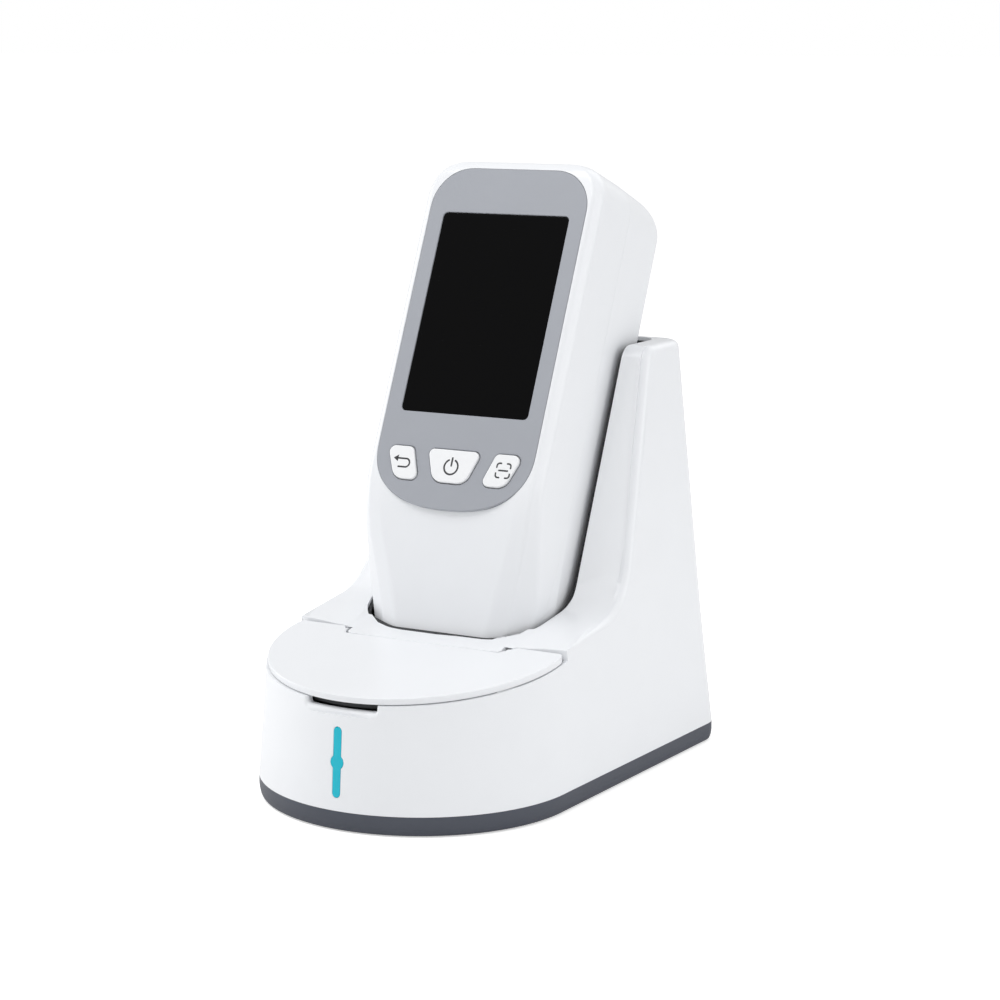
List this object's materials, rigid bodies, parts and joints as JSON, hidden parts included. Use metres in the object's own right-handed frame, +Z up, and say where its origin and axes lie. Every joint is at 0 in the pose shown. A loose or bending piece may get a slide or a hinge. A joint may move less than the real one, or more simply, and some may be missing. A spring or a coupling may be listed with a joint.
{
  "type": "handheld autorefractor with charging dock",
  "caption": "Handheld autorefractor leaning in a charging dock: screen and keys on its face, optics behind, a hinged compartment lid in front.",
  "frame": {"origin": "centre of the footprint on the table, under the base tray", "axes": "+X to the user's right, +Y to the back of the dock, +Z up; the rounded front and the lid face -Y"},
  "size_m": [0.126, 0.1741, 0.2173],
  "materials": {
    "white_shell": "satin-gloss white ABS",
    "button_white": "satin white with a dark symbol",
    "face_grey": "satin cool grey",
    "screen_black": "glossy black glass front",
    "dark_base": "fine-textured slate grey",
    "dark_liner": "matt black-grey moulding",
    "teal_light": "translucent teal light guide",
    "rubber_black": "matt black rubber",
    "steel": "zinc-plated steel",
    "gold_contact": "gold-plated contact",
    "board_green": "green solder mask",
    "cell_blue": "shrink wrap",
    "lens_glass": "coated optical glass",
    "window_glass": "dark filter glass",
    "tube_black": "black anodised",
    "target_amber": "amber lamp"
  },
  "bodies": {
    "dock": {"dock_housing": "white_shell", "pocket_liner": "dark_liner", "base_tray": "dark_base", "rubber_feet": "rubber_black", "ballast_plate": "steel", "dock_screws": "steel", "compartment_tub": "dark_liner", "catch_plates": "steel", "hinge_pins": "steel", "indicator_light": "teal_light", "indicator_board": "board_green", "dock_board": "board_green", "dc_inlet": "dark_liner", "pin_block": "dark_liner"},
    "lid": {"front_lid": "white_shell", "lid_magnets": "steel"},
    "charge_pins": {"charge_pins": "gold_contact"},
    "handset": {"front_shell": "white_shell", "rear_shell": "white_shell", "faceplate": "face_grey", "display_glass": "screen_black", "lcd_module": "steel", "keypad_mat": "rubber_black", "tact_switches": "steel", "main_board": "board_green", "board_screws": "steel", "case_screws": "steel", "battery_cells": "cell_blue", "battery_cradle": "dark_liner", "contact_block": "dark_liner", "charge_pads": "gold_contact", "optics_tube": "tube_black", "objective_lens": "lens_glass", "lens_ring": "tube_black", "beam_splitter": "lens_glass", "camera_board": "board_green", "camera_module": "dark_liner", "infrared_ring": "board_green", "fixation_target": "target_amber", "optics_cradle": "dark_liner", "rear_window": "window_glass", "window_bezel": "dark_liner", "speaker": "rubber_black"},
    "back_button": {"back_button": "button_white"},
    "power_button": {"power_button": "button_white"},
    "scan_button": {"scan_button": "button_white"}
  },
  "joints": [
    {"name": "handset_lift", "type": "slide", "parent": "dock", "child": "handset", "axis": [0, 0.4131, 0.9107], "range_m": [0, 0.165]},
    {"name": "lid_hinge", "type": "hinge", "parent": "dock", "child": "lid", "pos_m": [0, -0.027, 0.05173], "axis": [-1, 0, 0], "range_deg": [0, 95]},
    {"name": "charge_pins_press", "type": "slide", "parent": "dock", "child": "charge_pins", "axis": [0, -0.4131, -0.9107], "range_m": [0, 0.0015], "stiffness_N_per_m": 300, "springref_m": -0.001},
    {"name": "back_button_press", "type": "slide", "parent": "handset", "child": "back_button", "axis": [0, 0.9107, -0.4131], "range_m": [0, 0.0005], "stiffness_N_per_m": 800, "springref_m": -0.001},
    {"name": "power_button_press", "type": "slide", "parent": "handset", "child": "power_button", "axis": [0, 0.9107, -0.4131], "range_m": [0, 0.0005], "stiffness_N_per_m": 800, "springref_m": -0.001},
    {"name": "scan_button_press", "type": "slide", "parent": "handset", "child": "scan_button", "axis": [0, 0.9107, -0.4131], "range_m": [0, 0.0005], "stiffness_N_per_m": 800, "springref_m": -0.001}
  ]
}
